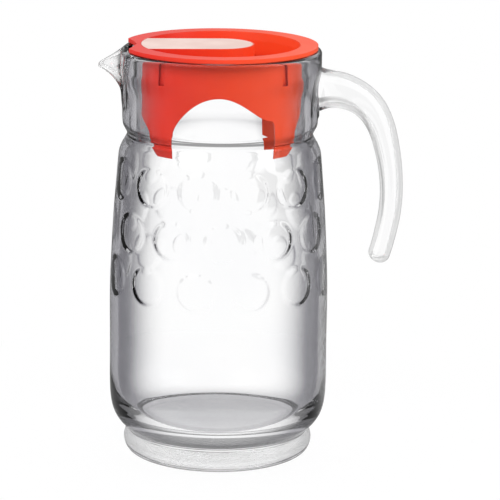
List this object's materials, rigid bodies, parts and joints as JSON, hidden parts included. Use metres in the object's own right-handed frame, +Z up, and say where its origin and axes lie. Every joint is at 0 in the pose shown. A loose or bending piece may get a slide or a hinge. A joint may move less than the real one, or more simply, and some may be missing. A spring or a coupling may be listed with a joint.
{
  "type": "lidded glass jug",
  "caption": "Clear glass jug with a beak spout and an open hook handle, and a lift-off red pouring lid that grips inside the neck with four legs.",
  "frame": {"origin": "centre of the flat resting face under the vessel's foot", "axes": "+Z up along the vessel's axis, -X towards the spout, +X towards the handle, +Y to the back"},
  "size_m": [0.1637, 0.117, 0.222],
  "materials": {
    "clear_glass": "polished clear glass",
    "red_plastic": "glossy moulded red plastic",
    "pale_plastic": "satin pale pink plastic"
  },
  "bodies": {
    "jug": {"glass_vessel": "clear_glass", "glass_handle": "clear_glass"},
    "lid": {"lid": "red_plastic", "lid_inlay": "pale_plastic"}
  },
  "joints": [
    {"name": "lid_lift", "type": "slide", "parent": "jug", "child": "lid", "axis": [0, 0, 1], "range_m": [0, 0.06]}
  ]
}
